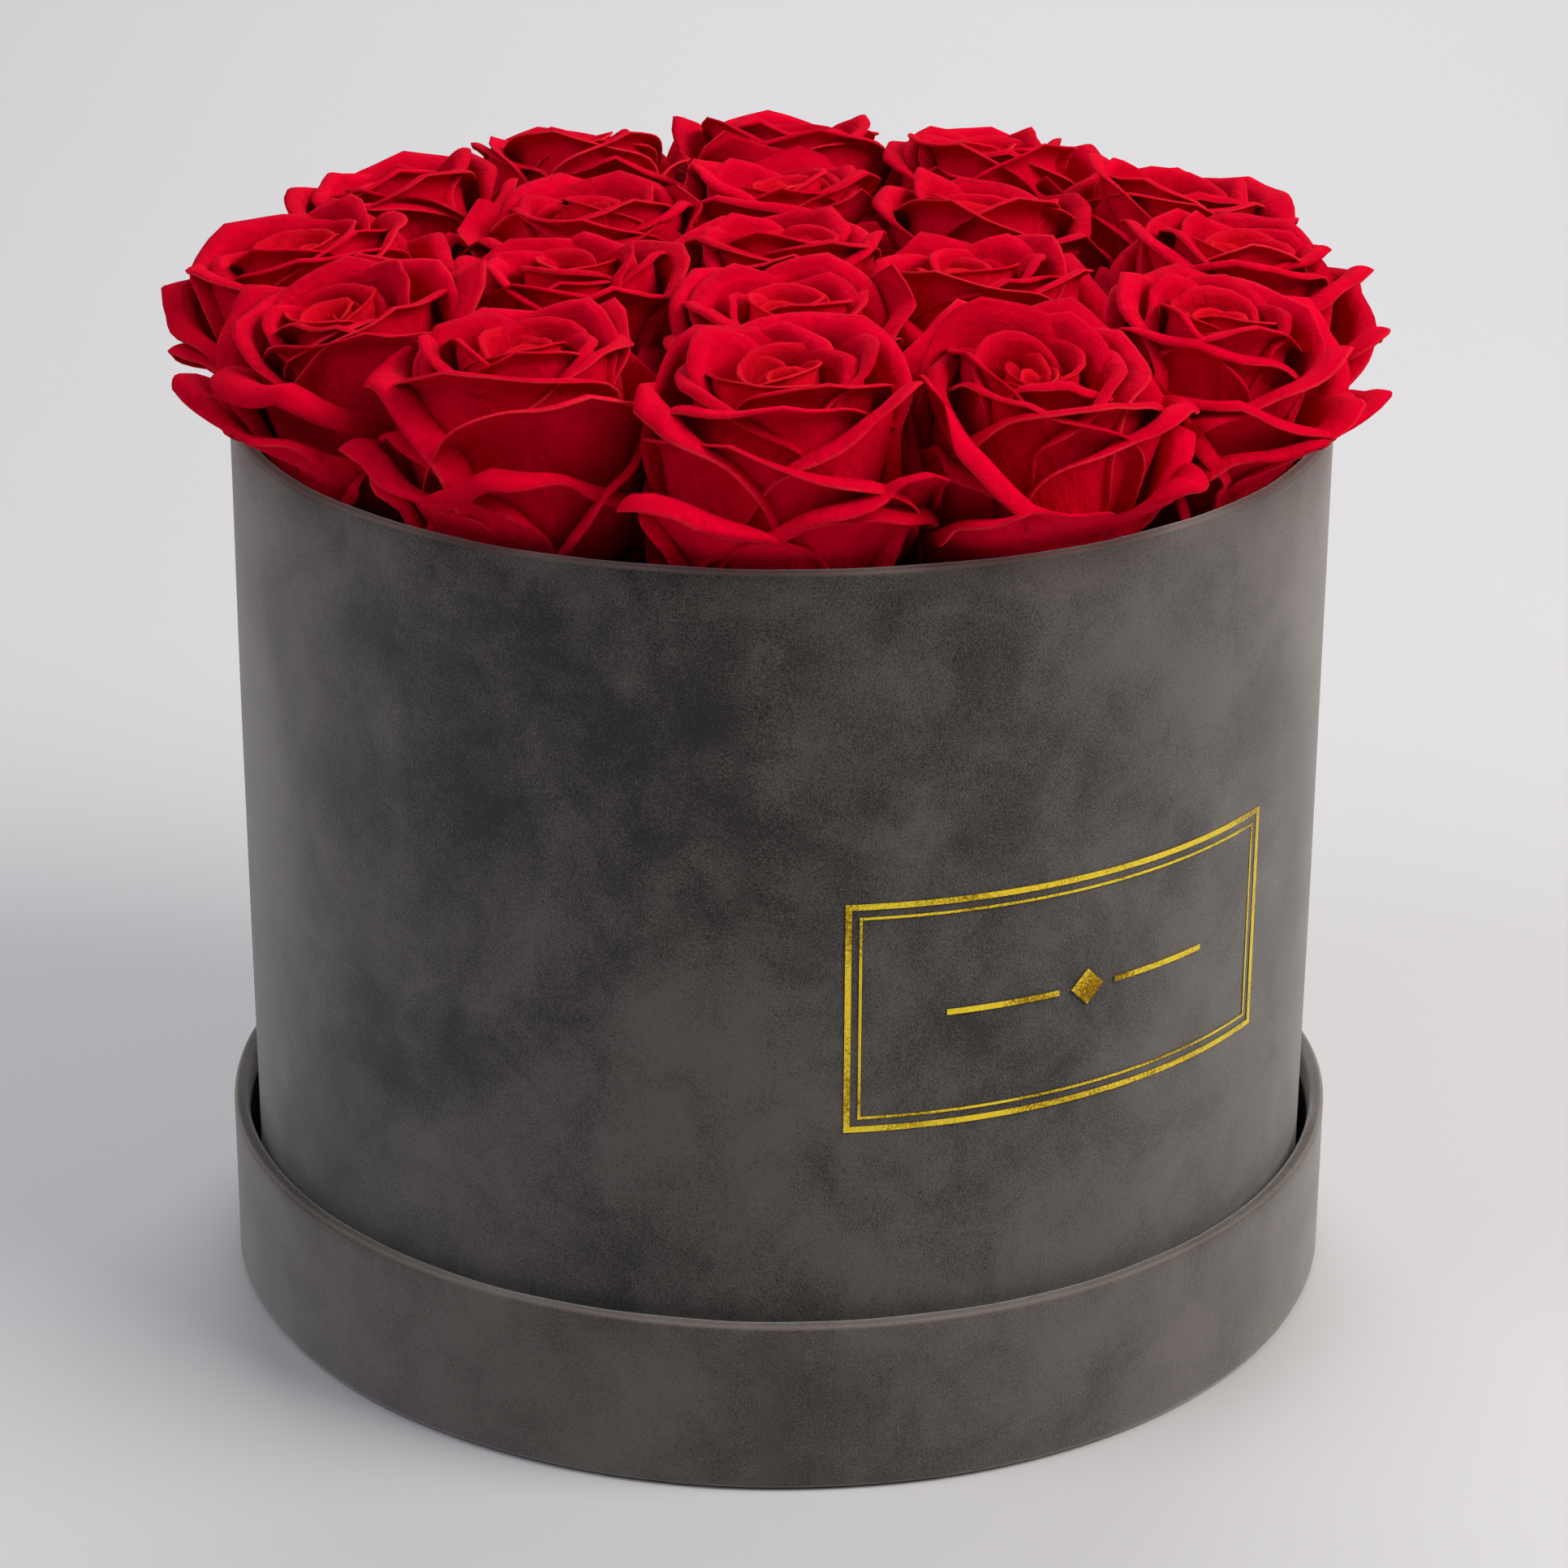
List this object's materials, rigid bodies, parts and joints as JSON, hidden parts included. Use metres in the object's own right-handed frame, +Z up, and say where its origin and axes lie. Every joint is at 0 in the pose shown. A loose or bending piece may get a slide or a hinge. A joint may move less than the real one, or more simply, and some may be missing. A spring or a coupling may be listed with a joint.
{
  "type": "flower box",
  "caption": "Round rigid paper-covered flower box filled with red rose blooms on foam, standing in its own upturned lid, which it lifts out of.",
  "frame": {"origin": "middle of the underside of the upturned lid, level with the table that it stands on", "axes": "+Z up through the middle rose, -Y towards the front, +X to the right of someone who looks at the front"},
  "size_m": [0.2252, 0.2252, 0.2071],
  "materials": {
    "suede_paper": "matte",
    "chipboard": "matte",
    "lining_paper": "matte",
    "gold_foil": "gloss",
    "foam": "matte",
    "petal": "matte",
    "stem": "matte"
  },
  "bodies": {
    "lid": {"lid_board_disc": "chipboard", "lid_board_ring": "chipboard", "lid_wrap": "suede_paper", "lid_cover": "suede_paper", "lid_liner_disc": "lining_paper", "lid_liner_ring": "lining_paper"},
    "box": {"box_board_base": "chipboard", "box_board_tube": "chipboard", "box_wrap": "suede_paper", "box_base_paper": "lining_paper", "box_liner_base": "lining_paper", "box_liner_tube": "lining_paper", "foil_outer_line": "gold_foil", "foil_inner_line": "gold_foil", "foil_ornament": "gold_foil", "foam_lower": "foam", "foam_upper": "foam", "rose_01": "petal", "rose_02": "petal", "rose_03": "petal", "rose_04": "petal", "rose_05": "petal", "rose_06": "petal", "rose_07": "petal", "rose_08": "petal", "rose_09": "petal", "rose_10": "petal", "rose_11": "petal", "rose_12": "petal", "rose_13": "petal", "rose_14": "petal", "rose_15": "petal", "rose_16": "petal", "rose_17": "petal", "rose_18": "petal", "rose_19": "petal", "stem_01": "stem", "stem_02": "stem", "stem_03": "stem", "stem_04": "stem", "stem_05": "stem", "stem_06": "stem", "stem_07": "stem", "stem_08": "stem", "stem_09": "stem", "stem_10": "stem", "stem_11": "stem", "stem_12": "stem", "stem_13": "stem", "stem_14": "stem", "stem_15": "stem", "stem_16": "stem", "stem_17": "stem", "stem_18": "stem", "stem_19": "stem"}
  },
  "joints": [
    {"name": "box_lift", "type": "slide", "parent": "lid", "child": "box", "axis": [0, 0, 1], "range_m": [0, 0.06]}
  ]
}
